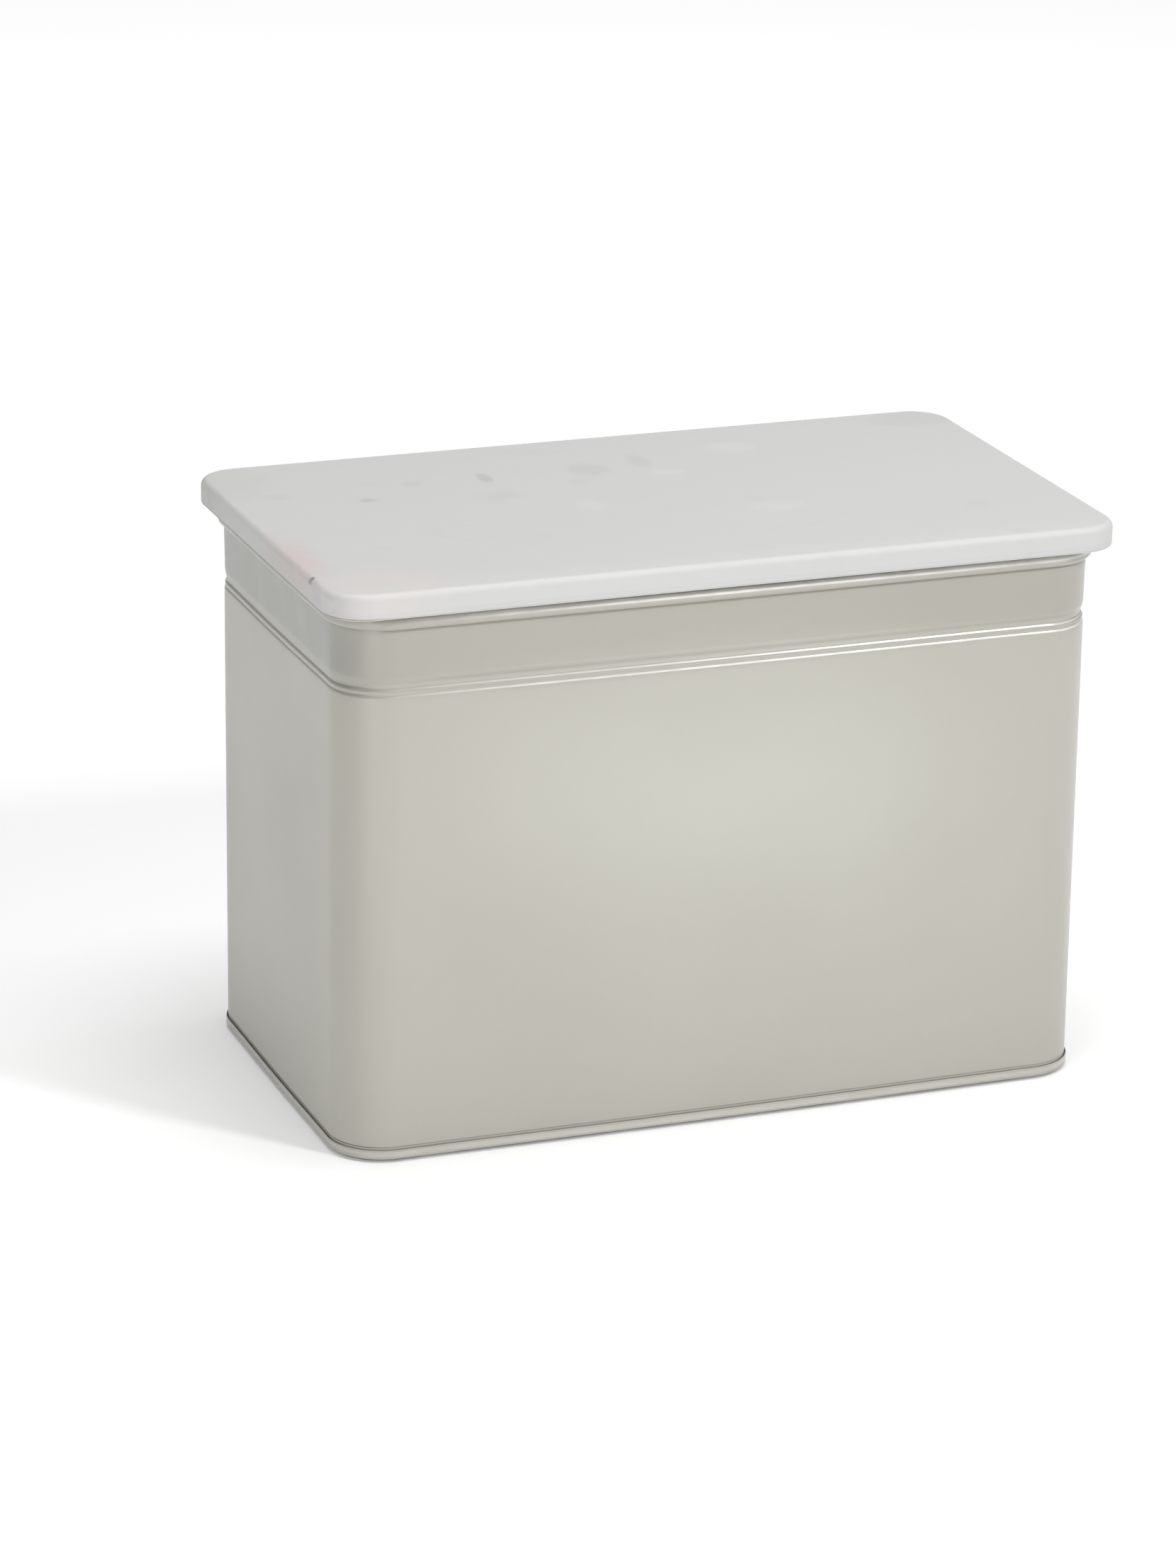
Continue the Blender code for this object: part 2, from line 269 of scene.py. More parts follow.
def formulas(tree, sockets, *names):
    return [Formula(tree, sockets[name]) for name in names]


# Geometry Nodes


def moved_by(tree, geometry, offset):
    node = add_node(tree, "GeometryNodeSetPosition", {"Geometry": geometry, "Offset": offset})
    return node.outputs[0]


def finish_tree(tree, geometry, material, result):
    """Makes the geometry real, gives it its material and sends it out."""
    whole = add_node(tree, "GeometryNodeRealizeInstances", {"Geometry": geometry})
    inputs = {"Geometry": whole.outputs[0], "Material": material}
    finished = add_node(tree, "GeometryNodeSetMaterial", inputs)
    tree.links.new(finished.outputs[0], result)
    spread_out(tree)
    return tree


def swell(along, across, half_run, half_width, amount):
    """How far a side stands out at a place along it: most in the middle, nothing at the corners."""
    share = (along / half_run) ** 2
    rise = (-(share.least(1.0)) + 1.0) ** 2
    on_side = abs(across).above(half_width)
    return rise * on_side * across.sign() * amount


def section_sweep():
    """A section, drawn as edges with X outward and Z up, carried round a rounded rectangle."""
    tree, given, result = new_tree(
        "section_round_the_bin",
        "GeometryNodeTree",
        (
            ("Section", "NodeSocketGeometry", None),
            ("Length", "NodeSocketFloat", 0.34),
            ("Depth", "NodeSocketFloat", 0.19),
            ("Corner Radius", "NodeSocketFloat", 0.02),
            ("Long Bow", "NodeSocketFloat", 0.0),
            ("Short Bow", "NodeSocketFloat", 0.0),
            ("Long Pillow", "NodeSocketFloat", 0.0),
            ("Short Pillow", "NodeSocketFloat", 0.0),
            ("Pillow Bottom", "NodeSocketFloat", 0.0),
            ("Pillow Top", "NodeSocketFloat", 1.0),
            ("Corner Steps", "NodeSocketInt", 24),
            ("Side Cuts", "NodeSocketInt", 20),
            ("Material", "NodeSocketMaterial", None),
        ),
        (("Piece", "NodeSocketGeometry"),),
    )
    length, depth, radius = formulas(tree, given, "Length", "Depth", "Corner Radius")
    half_x, half_y = length * 0.5, depth * 0.5
    run_x, run_y = half_x - radius, half_y - radius

    rectangle = add_node(
        tree, "GeometryNodeCurvePrimitiveQuadrilateral", {"Width": length, "Height": depth}
    )
    rounded = add_node(
        tree,
        "GeometryNodeFilletCurve",
        {"Curve": rectangle.outputs[0], "Count": given["Corner Steps"], "Radius": radius},
        mode="POLY",
    )
    position = add_node(tree, "GeometryNodeInputPosition").outputs[0]
    following = add_node(
        tree,
        "GeometryNodeOffsetPointInCurve",
        {"Point Index": add_node(tree, "GeometryNodeInputIndex").outputs[0], "Offset": 1},
    )
    next_position = add_node(
        tree,
        "GeometryNodeFieldAtIndex",
        {"Value": position, "Index": following.outputs["Point Index"]},
        data_type="FLOAT_VECTOR",
    )
    reach = add_node(
        tree, "ShaderNodeVectorMath", {0: position, 1: next_position.outputs[0]}, operation="DISTANCE"
    )
    is_side = Formula(tree, reach.outputs["Value"]).above(run_y)
    cuts = is_side * Formula(tree, given["Side Cuts"])
    outline = add_node(
        tree, "GeometryNodeSubdivideCurve", {"Curve": rounded.outputs[0], "Cuts": cuts}
    )
    place = add_node(tree, "ShaderNodeSeparateXYZ", {0: position}).outputs
    x, y, z = (Formula(tree, place[axis]) for axis in "XYZ")
    bow = add_node(
        tree,
        "ShaderNodeCombineXYZ",
        {
            "X": swell(y, x, run_y, half_x - HAIR, Formula(tree, given["Short Bow"])),
            "Y": swell(x, y, run_x, half_y - HAIR, Formula(tree, given["Long Bow"])),
        },
    )
    bowed = moved_by(tree, outline.outputs[0], bow.outputs[0])
    upright = add_node(tree, "GeometryNodeSetCurveNormal", {"Curve": bowed}, mode="Z_UP")
    drawn = add_node(tree, "GeometryNodeMeshToCurve", {"Mesh": given["Section"]})
    turned = add_node(tree, "ShaderNodeCombineXYZ", {"X": x, "Y": -z})
    profile = add_node(
        tree,
        "GeometryNodeSetPosition",
        {"Geometry": drawn.outputs[0], "Position": turned.outputs[0]},
    )
    swept = add_node(
        tree,
        "GeometryNodeCurveToMesh",
        {"Curve": upright.outputs[0], "Profile Curve": profile.outputs[0]},
    )
    bottom, top = formulas(tree, given, "Pillow Bottom", "Pillow Top")
    height = (z * 2.0 - bottom - top) / (top - bottom)
    height_rise = (-((height**2).least(1.0)) + 1.0) ** 2
    short_pillow, long_pillow = formulas(tree, given, "Short Pillow", "Long Pillow")
    pillow = add_node(
        tree,
        "ShaderNodeCombineXYZ",
        {
            "X": swell(y, x, run_y, half_x - SKIN_REACH, short_pillow) * height_rise,
            "Y": swell(x, y, run_x, half_y - SKIN_REACH, long_pillow) * height_rise,
        },
    )
    pillowed = moved_by(tree, swept.outputs[0], pillow.outputs[0])
    return finish_tree(tree, pillowed, given["Material"], result[0])


def rows_of_one_piece():
    """Copies of one piece on a grid, each turned a little differently."""
    tree, given, result = new_tree(
        "rows_of_one_piece",
        "GeometryNodeTree",
        (
            ("Piece", "NodeSocketGeometry", None),
            ("Columns", "NodeSocketInt", 2),
            ("Rows", "NodeSocketInt", 2),
            ("Row Length", "NodeSocketFloat", 0.3),
            ("Column Length", "NodeSocketFloat", 0.15),
            ("Seed", "NodeSocketInt", 1),
            ("Material", "NodeSocketMaterial", None),
        ),
        (("Pieces", "NodeSocketGeometry"),),
    )
    grid = add_node(
        tree,
        "GeometryNodeMeshGrid",
        {
            "Size X": given["Row Length"],
            "Size Y": given["Column Length"],
            "Vertices X": given["Columns"],
            "Vertices Y": given["Rows"],
        },
    )
    turn = tree.nodes.new("FunctionNodeRandomValue")
    turn.inputs[3].default_value = math.tau
    tree.links.new(given["Seed"], turn.inputs["Seed"])
    turned = add_node(tree, "ShaderNodeCombineXYZ", {"Z": turn.outputs[1]})
    rotation = add_node(tree, "FunctionNodeEulerToRotation", {0: turned.outputs[0]})
    copies = add_node(
        tree,
        "GeometryNodeInstanceOnPoints",
        {"Points": grid.outputs[0], "Instance": given["Piece"], "Rotation": rotation.outputs[0]},
    )
    return finish_tree(tree, copies.outputs[0], given["Material"], result[0])


def worn_arris():
    """Small nicks and waviness along the edges of a cut stone, pressed in along its normals."""
    tree, given, result = new_tree(
        "worn_arris",
        "GeometryNodeTree",
        (
            ("Stone", "NodeSocketGeometry", None),
            ("Waviness", "NodeSocketFloat", 0.00006),
            ("Nick Depth", "NodeSocketFloat", 0.0003),
            ("Nick Scale", "NodeSocketFloat", 90.0),
            ("Seed", "NodeSocketFloat", 3.0),
            ("Material", "NodeSocketMaterial", None),
        ),
        (("Stone", "NodeSocketGeometry"),),
    )
    normal = add_node(tree, "GeometryNodeInputNormal").outputs[0]
    facing = add_node(tree, "ShaderNodeSeparateXYZ", {0: normal}).outputs
    level = abs(Formula(tree, facing["Z"]))
    on_arris = level.between(*ARRIS_START) * (-level.between(*ARRIS_END) + 1.0)

    def seeded_noise(scale, detail):
        node = add_node(
            tree,
            "ShaderNodeTexNoise",
            {"W": given["Seed"], "Scale": scale, "Detail": detail},
            noise_dimensions="4D",
        )
        return Formula(tree, node.outputs[0])

    nick_scale, nick_depth, waviness = formulas(tree, given, "Nick Scale", "Nick Depth", "Waviness")
    nicks = seeded_noise(nick_scale, 2.0).between(*NICK_ONSET) * nick_depth
    waves = seeded_noise(nick_scale * WAVE_SHARE, 3.0) * waviness
    depth = -((nicks + waves) * on_arris)
    press = add_node(tree, "ShaderNodeVectorMath", {0: normal, "Scale": depth}, operation="SCALE")
    pressed = moved_by(tree, given["Stone"], press.outputs[0])
    return finish_tree(tree, pressed, given["Material"], result[0])


def through_nodes(name, mesh, tree, **values):
    """The mesh after a Geometry Nodes tree, as plain mesh data. Inputs are named with underscores."""
    obj = bpy.data.objects.new(name, mesh)
    bpy.context.scene.collection.objects.link(obj)
    modifier = obj.modifiers.new(tree.name, "NODES")
    modifier.node_group = tree
    for item in tree.interface.items_tree:
        value = values.get(item.name.lower().replace(" ", "_"))
        if item.in_out == "INPUT" and value is not None:
            modifier[item.identifier] = value
    graph = bpy.context.evaluated_depsgraph_get()
    made = bpy.data.meshes.new_from_object(obj.evaluated_get(graph))
    bpy.data.objects.remove(obj)
    made.name = name
    return made


# Sections and meshes


def arc(centre, radius, start, end, steps):
    """Points along an arc, both ends included."""
    angles = (start + (end - start) * step / steps for step in range(steps + 1))
    return [(centre[0] + radius * math.cos(a), centre[1] + radius * math.sin(a)) for a in angles]


def straight(start, end, steps):
    """Points from start to end, without the last."""
    return [
        tuple(a + (b - a) * step / steps for a, b in zip(start, end)) for step in range(steps)
    ]


def bezier(start, start_pull, end_pull, end, steps):
    """Points along a cubic curve, without the first and the last."""
    points = []
    for step in range(1, steps):
        t = step / steps
        shares = ((1 - t) ** 3, 3 * t * (1 - t) ** 2, 3 * t * t * (1 - t), t**3)
        ends = (start, start_pull, end_pull, end)
        points.append(tuple(sum(s * p[axis] for s, p in zip(shares, ends)) for axis in (0, 1)))
    return points


def raised_cosine(away):
    return (1 + math.cos(math.pi * away)) / 2 if abs(away) < 1 else 0.0


def sheet_section(line, thickness, open_start=False):
    """The closed outline of a sheet that follows a line, with half-round ends.

    With an open start, the outline is left open there, for a face to close it later.
    """
    sides = ([], [])
    for here, point in enumerate(line):
        before = line[max(here - 1, 0)]
        after = line[min(here + 1, len(line) - 1)]
        run_in = Vector(point) - Vector(before) if here else Vector(after) - Vector(point)
        run_out = Vector(after) - Vector(point) if here < len(line) - 1 else run_in
        turn = (run_in.normalized() + run_out.normalized()).normalized()
        stretch = 1 / max(turn.dot(run_in.normalized()), SHARPEST_TURN)
        across = Vector((-turn.y, turn.x)) * thickness / 2 * stretch
        sides[0].append(tuple(Vector(point) + across))
        sides[1].append(tuple(Vector(point) - across))
    outline = sides[0] + half_round(line[-2], line[-1], thickness / 2) + sides[1][::-1]
    return outline if open_start else outline + half_round(line[1], line[0], thickness / 2)


def half_round(before, end, radius):
    """Points round the end of a sheet, without those on its two sides."""
    heading = math.atan2(end[1] - before[1], end[0] - before[0])
    return arc(end, radius, heading + math.pi / 2, heading - math.pi / 2, SHEET_END_STEPS)[1:-1]


def edges_mesh(name, points, closed):
    """Points joined by edges, X outward and Z up."""
    edges = [(here, here + 1) for here in range(len(points) - 1)]
    if closed:
        edges.append((len(points) - 1, 0))
    mesh = bpy.data.meshes.new(name)
    mesh.from_pydata([(x, 0.0, z) for x, z in points], edges, [])
    return mesh


def tidy_mesh(mesh, work=None):
    """Closes open rings with flat faces, turns faces outward, does the work and marks creases."""
    bm = bmesh.new()
    bm.from_mesh(mesh)
    bmesh.ops.remove_doubles(bm, verts=bm.verts, dist=WELD)
    rims = [edge for edge in bm.edges if edge.is_boundary]
    if rims:
        bmesh.ops.holes_fill(bm, edges=rims, sides=0)
    bmesh.ops.recalc_face_normals(bm, faces=bm.faces)
    if work:
        work(bm)
    bm.to_mesh(mesh)
    bm.free()
    mesh.shade_smooth()
    mesh.set_sharp_from_angle(angle=SHARP_EDGE)
    return mesh


def add_piece(name, mesh, body, slot, *nodes):
    """The finished mesh as a piece that rides on a body and stands for CAD nodes."""
    piece = bpy.data.objects.new(name, mesh)
    bpy.context.scene.collection.objects.link(piece)
    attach(piece, body)
    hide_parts(*nodes)


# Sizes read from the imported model

rim_low, rim_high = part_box("base_panel")
slab_low, slab_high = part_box("marble_slab")
wire_low, wire_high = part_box("rim_wire")
shell_low, shell_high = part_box("body_shell")
gasket_low, gasket_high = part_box("lid_gasket")
plate_low, plate_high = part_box("lid_plate")
foot_low, foot_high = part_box("foot_front_left")

LENGTH = 2 * (rim_high.x - RIM_PROUD - BOW_SHORT)
DEPTH = 2 * (rim_high.y - RIM_PROUD - BOW_LONG)
RIM_TOP = shell_high.z
WIRE_RADIUS = (wire_high.z - wire_low.z) / 2
CURL_CENTRE = (wire_high.z + wire_low.z) / 2
CURL_MIDDLE = RIM_TOP - CURL_CENTRE - WALL_SHEET / 2
FOOT_RIM = rim_low.z
LID_SEAT = slab_low.z
GROOVE_HEIGHT = RIM_TOP - UPPER_GROOVE[0]


def groove_depth(z):
    """How far the rolled grooves press the wall in at a height."""
    depth = 0.0
    for below_top, reach_up, reach_down, deepest in (UPPER_GROOVE, LOWER_GROOVE):
        above = z - (RIM_TOP - below_top)
        depth += deepest * raised_cosine(above / (reach_up if above > 0 else reach_down))
    return depth


def band_lean(z):
    """How far in the wall lies where it leans in towards the grooves from above."""
    if z <= GROOVE_HEIGHT:
        return BAND_LEAN * raised_cosine((GROOVE_HEIGHT - z) / LEAN_TAIL)
    share = (z - GROOVE_HEIGHT) / (CURL_CENTRE - LEAN_TOP - GROOVE_HEIGHT)
    return BAND_LEAN * (1.0 - min(1.0, share))


def round_the_bin(name, section, closed, material, cuts=SIDE_CUTS, steps=CORNER_STEPS, **more):
    """A section carried round the body's own outline."""
    return through_nodes(
        name,
        edges_mesh(name, section, closed),
        SWEEP,
        length=LENGTH,
        depth=DEPTH,
        corner_radius=CORNER_RADIUS,
        long_bow=BOW_LONG,
        short_bow=BOW_SHORT,
        side_cuts=cuts,
        corner_steps=steps,
        material=material,
        **more,
    )


def make_body_wall(paint):
    """The wrapped wall: straight sheet, two grooves, and a top edge curled round the wire."""
    bottom = shell_low.z + WALL_SHEET / 2
    groove_bottom = RIM_TOP - LOWER_GROOVE[0] - GROOVE_MARGINS[0]
    groove_top = GROOVE_HEIGHT + GROOVE_MARGINS[1]
    neck = CURL_CENTRE - NECK_DROP * CURL_MIDDLE
    middle = -WALL_SHEET / 2
    line = straight((middle, bottom), (middle, groove_bottom), WALL_STEPS)
    line += straight((middle, groove_bottom), (middle, groove_top), GROOVE_STEPS)
    line += straight((middle, groove_top), (middle, neck), NECK_STEPS)
    line = [(x - groove_depth(z) - band_lean(z), z) for x, z in line]
    curl = arc((0.0, CURL_CENTRE), CURL_MIDDLE, CURL_ENTRY, CURL_TAIL, CURL_STEPS)
    away = (math.sin(CURL_ENTRY), -math.cos(CURL_ENTRY))
    entry_pull = (curl[0][0] - away[0] * NECK_PULL, curl[0][1] - away[1] * NECK_PULL)
    line.append((middle, neck))
    line += bezier((middle, neck), (middle, neck + NECK_PULL), entry_pull, curl[0], NECK_STEPS)
    line += curl
    mesh = round_the_bin(
        "body_wall",
        sheet_section(line, WALL_SHEET),
        True,
        paint,
        long_pillow=PILLOW_LONG,
        short_pillow=PILLOW_SHORT,
        pillow_bottom=bottom,
        pillow_top=groove_bottom,
    )
    tidy_mesh(mesh, work=shape_wall)
    add_piece("body_wall", mesh, "bin", "body_paint", "body_shell")


def shape_wall(bm):
    deepen_corners(bm)
    raise_lock_seam(bm)


def deepen_corners(bm):
    """Lets both grooves bite deeper round the four corners."""
    centre_x, centre_y = LENGTH / 2 - CORNER_RADIUS, DEPTH / 2 - CORNER_RADIUS
    for vert in bm.verts:
        out = Vector((abs(vert.co.x) - centre_x, abs(vert.co.y) - centre_y))
        if min(out) <= 0:
            continue
        bite = CORNER_BITE * groove_depth(vert.co.z) * math.sin(2 * math.atan2(out.y, out.x)) ** 2
        out.normalize()
        vert.co.x -= math.copysign(out.x * bite, vert.co.x)
        vert.co.y -= math.copysign(out.y * bite, vert.co.y)


def raise_lock_seam(bm):
    """Folds the back's outer skin out into a flattened seam, with soft shoulders."""
    half = SEAM_WIDTH / 2
    low = rim_high.z + SEAM_END_CLEARANCE
    high = CURL_CENTRE - SEAM_TOP_DROP * CURL_MIDDLE - SEAM_END_CLEARANCE
    cuts = [((x, 0, 0), (1, 0, 0)) for x in (-half - SEAM_SHOULDER, -half, -half / 2, half / 2, half)]
    cuts.append(((half + SEAM_SHOULDER, 0, 0), (1, 0, 0)))
    cuts += [((0, 0, z), (0, 0, 1)) for z in (low, low + MM, high - MM, high)]
    for place, normal in cuts:
        near = [
            face
            for face in bm.faces
            if face.calc_center_median().y > DEPTH / 2 - SKIN_REACH
            and any(abs(vert.co.x) < 4 * half for vert in face.verts)
        ]
        geom = near + list({edge for face in near for edge in face.edges})
        geom += list({vert for face in near for vert in face.verts})
        bmesh.ops.bisect_plane(bm, geom=geom, plane_co=place, plane_no=normal, dist=WELD / 2)
    bm.normal_update()
    for vert in bm.verts:
        outside = vert.co.y > 0 and vert.normal.y > 0.3
        if outside and abs(vert.co.x) < half + SEAM_SHOULDER and low <= vert.co.z <= high:
            side = min(1.0, (half + SEAM_SHOULDER - abs(vert.co.x)) / SEAM_SHOULDER)
            end = min(1.0, (vert.co.z - low) / MM, (high - vert.co.z) / MM)
            vert.co.y += SEAM_PROUD * side * end


def make_rim_wire(steel):
    section = arc((0.0, CURL_CENTRE), WIRE_RADIUS, 0.0, math.tau, WIRE_STEPS)[:-1]
    mesh = round_the_bin("wire_in_the_rim", section, True, steel, WIRE_SIDE_CUTS, WIRE_CORNER_STEPS)
    add_piece("wire_in_the_rim", tidy_mesh(mesh), "bin", "wire_steel", "rim_wire")


def make_bottom(paint):
    """The bottom panel: a raised middle, a wall down inside the foot and a seamed rim outside it."""
    half = BASE_SHEET / 2
    panel = FOOT_RIM + PANEL_RECESS + half
    border = -(WALL_SHEET + GAP + half)
    outer = GAP + half
    turn_radius = WALL_SHEET / 2 + GAP + half
    turn_centre = (-WALL_SHEET / 2, FOOT_RIM + half + turn_radius)
    bend_centre = (border - PANEL_BEND, panel - PANEL_BEND)
    rise_start = -PLATEAU_INSET - PLATEAU_SLOPE
    line = [(rise_start - PLATEAU_LEDGE, panel + PLATEAU_RISE)]
    for step in range(SLOPE_STEPS + 1):
        share = step / SLOPE_STEPS
        rise = PLATEAU_RISE * raised_cosine(share)
        line.append((rise_start + PLATEAU_SLOPE * share, panel + rise))
    line.append((-PLATEAU_INSET + 2 * MM, panel))
    line += arc(bend_centre, PANEL_BEND, math.pi / 2, 0.0, BEND_STEPS)
    line += arc(turn_centre, turn_radius, -math.pi, 0.0, 2 * BEND_STEPS)
    rim_start, rim_end = turn_centre[1], FOOT_RIM + RIM_HEIGHT - half
    waist = rim_start + (rim_end - rim_start) * WAIST_HEIGHT
    for step in range(1, RIM_STEPS + 1):
        z = rim_start + (rim_end - rim_start) * step / RIM_STEPS
        line.append((outer - RIM_WAIST * raised_cosine((z - waist) / WAIST_REACH), z))
    section = sheet_section(line, BASE_SHEET, open_start=True)
    mesh = round_the_bin("seamed_bottom", section, False, paint)
    add_piece("seamed_bottom", tidy_mesh(mesh), "bin", "body_paint", "base_panel")


def turned_mesh(name, profile, steps):
    """A solid turned from a profile of (radius, height), both ends on the axis."""
    bm = bmesh.new()
    points = [bm.verts.new((x, 0.0, z)) for x, z in profile]
    edges = [bm.edges.new(pair) for pair in zip(points, points[1:])]
    bmesh.ops.spin(
        bm, geom=points + edges, cent=(0, 0, 0), axis=(0, 0, 1), angle=math.tau, steps=steps
    )
    bmesh.ops.remove_doubles(bm, verts=bm.verts, dist=WELD)
    bmesh.ops.recalc_face_normals(bm, faces=bm.faces)
    mesh = bpy.data.meshes.new(name)
    bm.to_mesh(mesh)
    bm.free()
    return mesh


def in_rows(name, piece, nodes, columns, seed, material):
    """The piece once for each of the named nodes, which stand in two rows."""
    middles = [(low + high) / 2 for low, high in map(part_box, nodes)]
    return through_nodes(
        name,
        piece,
        ROWS,
        columns=columns,
        rows=2,
        row_length=max(p.x for p in middles) - min(p.x for p in middles),
        column_length=max(p.y for p in middles) - min(p.y for p in middles),
        seed=seed,
        material=material,
    )


def make_feet(rubber):
    """Four turned rubber buttons with a rounded sole and a ring pressed into it."""
    radius = (foot_high.x - foot_low.x) / 2
    top = foot_high.z
    flat = radius - FOOT_TAPER - FOOT_ROUNDING
    sole = arc((flat, FOOT_ROUNDING), FOOT_ROUNDING, 0.0, -math.pi / 2, BEND_STEPS)
    inset, width, depth = SOLE_RING
    ring = [
        (flat - inset - width * step / RING_STEPS, depth * raised_cosine(2 * step / RING_STEPS - 1))
        for step in range(RING_STEPS + 1)
    ]
    centre = (radius - FOOT_SHOULDER, top - FOOT_SHOULDER)
    shoulder = arc(centre, FOOT_SHOULDER, math.pi / 2, 0.0, SHOULDER_STEPS)
    profile = [(0.0, top), *shoulder, *sole, *ring, (0.0, 0.0)]
    foot = turned_mesh("foot_button", profile, TURNED_STEPS)
    mesh = in_rows("rubber_feet", foot, FEET, 2, 4, rubber)
    add_piece("rubber_feet", tidy_mesh(mesh), "bin", "foot_rubber", *FEET)


def make_slab(marble):
    """The marble slab, its arrises eased and slightly nicked."""
    low, high = slab_low.z, slab_high.z
    top, bottom = SLAB_TOP_ARRIS, SLAB_BOTTOM_ARRIS
    inner = -SLAB_BORDER
    section = [(inner, high)]
    section += straight((inner + 2 * MM, high), (-top, high), 3)
    section += arc((-top, high - top), top, math.pi / 2, 0.0, 10)
    section += straight((0.0, high - top - 0.6 * MM), (0.0, low + bottom + 0.1 * MM), 8)
    section += arc((-bottom, low + bottom), bottom, 0.0, -math.pi / 2, 7)
    section += [(inner + 2 * MM, low), (inner, low)]
    mesh = through_nodes(
        "marble_lid_slab",
        edges_mesh("marble_lid_slab", section, False),
        SWEEP,
        length=slab_high.x - slab_low.x,
        depth=slab_high.y - slab_low.y,
        corner_radius=SLAB_CORNER_RADIUS,
        side_cuts=SLAB_SIDE_CUTS,
        corner_steps=SLAB_CORNER_STEPS,
        material=marble,
    )
    tidy_mesh(mesh)
    worn = through_nodes("marble_lid_slab", mesh, ARRIS, material=marble)
    add_piece("marble_lid_slab", tidy_mesh(worn), "lid", "marble", "marble_slab")


def make_plate(paint):
    """The locating plate: an upturned tray with a stamped bead and a skirt into the mouth."""
    half = PLATE_SHEET / 2
    top = plate_high.z - half
    skirt = gasket_leg_inside() - GAP - half
    bend_centre = (skirt - PLATE_BEND, top - PLATE_BEND)
    inset, bead_half, bead_depth = PLATE_BEAD
    bead_middle = skirt - inset
    line = [(bead_middle - bead_half - 3 * MM, top)]
    for step in range(BEAD_STEPS + 1):
        away = 2 * step / BEAD_STEPS - 1
        line.append((bead_middle + bead_half * away, top - bead_depth * raised_cosine(away)))
    line += arc(bend_centre, PLATE_BEND, math.pi / 2, 0.0, PLATE_BEND_STEPS)
    line += [(skirt, z) for z in (top - 4 * MM, top - 6 * MM, plate_low.z + half)]
    section = sheet_section(line, PLATE_SHEET, open_start=True)
    mesh = round_the_bin("locating_plate", section, False, paint, LID_SIDE_CUTS, LID_CORNER_STEPS)
    add_piece("locating_plate", tidy_mesh(mesh), "lid", "body_paint", "lid_plate")


def gasket_leg_inside():
    """How far the inner face of the ring's leg lies from the wall's outside."""
    curl_outer = CURL_MIDDLE + WALL_SHEET / 2
    return -curl_outer - MOUTH_CLEARANCE - LEG_THICKNESS


def make_gasket(silicone):
    """The silicone ring: flange on the curled edge, leg round the skirt, two soft fins."""
    inside = gasket_leg_inside()
    outside = inside + LEG_THICKNESS
    top, bottom = gasket_high.z, gasket_low.z
    lip = FLANGE_THICKNESS / 2
    flange_low = top - FLANGE_THICKNESS
    fillet, toe = FLANGE_FILLET, LEG_TOE
    section = [(inside, top - LEG_CHAMFER), (inside + LEG_CHAMFER, top)]
    section += straight((outside, top), (FLANGE_REACH - lip, top), 3)
    section += arc((FLANGE_REACH - lip, top - lip), lip, math.pi / 2, -math.pi / 2, 10)
    section += arc((outside + fillet, flange_low - fillet), fillet, math.pi / 2, math.pi, 4)
    for depth in FIN_DEPTHS:
        for step in range(FIN_STEPS + 1):
            away = 2 * step / FIN_STEPS - 1
            z = LID_SEAT - depth - FIN_HALF_HEIGHT * away
            section.append((outside + FIN_PROUD * raised_cosine(away), z))
    section += arc((outside - toe, bottom + toe), toe, 0.0, -math.pi / 2, 6)
    section += arc((inside + toe, bottom + toe), toe, -math.pi / 2, -math.pi, 6)
    mesh = round_the_bin("silicone_ring", section, True, silicone, LID_SIDE_CUTS, LID_CORNER_STEPS)
    add_piece("silicone_ring", tidy_mesh(mesh), "lid", "silicone", "lid_gasket")


def make_pads(adhesive):
    """Six pressed-out adhesive pads with rounded rims."""
    low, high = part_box(PADS[0])
    radius, half = (high.x - low.x) / 2, (high.z - low.z) / 2
    rim = arc((radius - half, low.z + half), half, math.pi / 2, -math.pi / 2, BEND_STEPS)
    face = [(radius * share, high.z) for share in PAD_SHARES]
    profile = face + rim + [(radius * 0.5, low.z), (0.0, low.z)]
    mesh = in_rows("adhesive_pads", turned_mesh("pad", profile, TURNED_STEPS), PADS, 3, 9, adhesive)
    add_piece("adhesive_pads", tidy_mesh(mesh), "lid", "adhesive", *PADS)


# Finishes


def drifting_tone():
    """A colour that drifts a little lighter and darker over the surface."""
    tree, given, result = new_tree(
        "drifting_tone",
        "ShaderNodeTree",
        (
            ("Vector", "NodeSocketVector", None),
            ("Color", "NodeSocketColor", (0.5, 0.5, 0.5, 1.0)),
            ("Drift Color", "NodeSocketColor", (0.4, 0.4, 0.4, 1.0)),
            ("Scale", "NodeSocketFloat", 10.0),
            ("Amount", "NodeSocketFloat", 0.2),
        ),
        (("Color", "NodeSocketColor"), ("Mask", "NodeSocketFloat")),
    )
    clouds = noise(tree, given["Vector"], given["Scale"], Detail=4.0, Roughness=0.55)
    mask = clouds.between(0.35, 0.7)
    share = mask * Formula(tree, given["Amount"])
    mixed = mix_colors(tree, share, given["Color"], given["Drift Color"])
    tree.links.new(mixed, result["Color"])
    tree.links.new(mask.socket, result["Mask"])
    spread_out(tree)
    return tree


